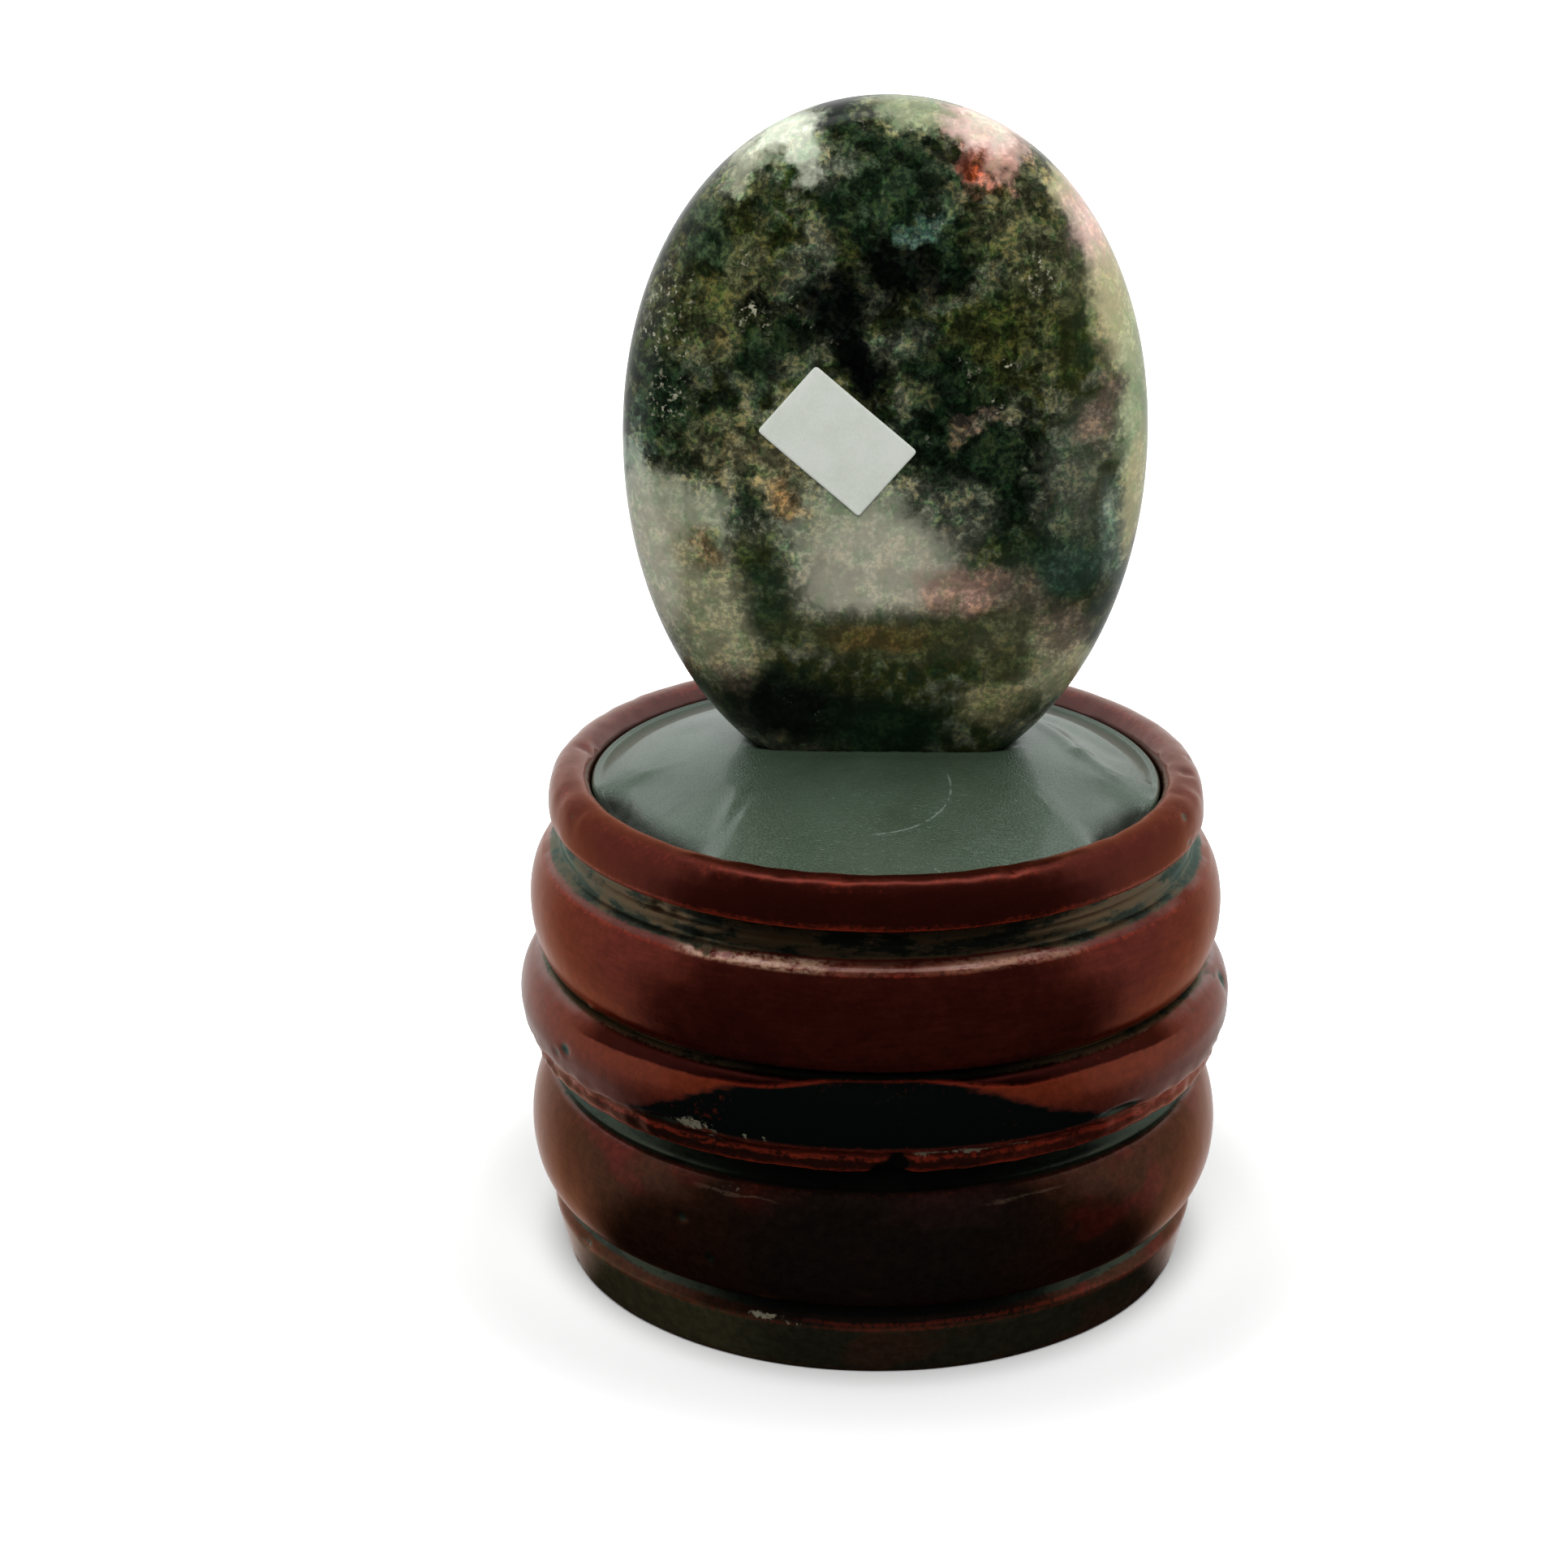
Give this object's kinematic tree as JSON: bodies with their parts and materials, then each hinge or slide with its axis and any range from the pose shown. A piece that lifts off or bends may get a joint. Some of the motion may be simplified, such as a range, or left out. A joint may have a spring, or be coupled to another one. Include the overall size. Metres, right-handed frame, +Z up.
{
  "type": "palm stone",
  "caption": "Polished oval palm stone standing upright in the padded top of a turned, lacquered wooden stand.",
  "frame": {"origin": "centre of the stand's foot, on the surface it stands on", "axes": "+Z up the stand and the stone; the stone's labelled face looks along -Y"},
  "size_m": [0.0682, 0.0682, 0.112],
  "materials": {
    "lacquered_wood": "red-brown gloss lacquer, dark in the grooves",
    "felt": "dark felt",
    "grey_board": "plain grey board",
    "foam": "soft upholstery foam",
    "leatherette": "smooth dark grey leatherette, semi-gloss",
    "putty": "matt display putty",
    "polished_stone": "polished, mottled green-black with white, olive and pink patches",
    "paper": "plain white paper sticker"
  },
  "bodies": {
    "stand": {"stand_body": "lacquered_wood", "base_felt": "felt", "pad_board": "grey_board", "pad_foam": "foam", "pad_cover": "leatherette", "seat_putty": "putty"},
    "stone": {"palm_stone": "polished_stone", "stone_label": "paper"}
  },
  "joints": [
    {"name": "stone_lift", "type": "slide", "parent": "stand", "child": "stone", "axis": [0, 0, 1], "range_m": [0, 0.03]}
  ]
}
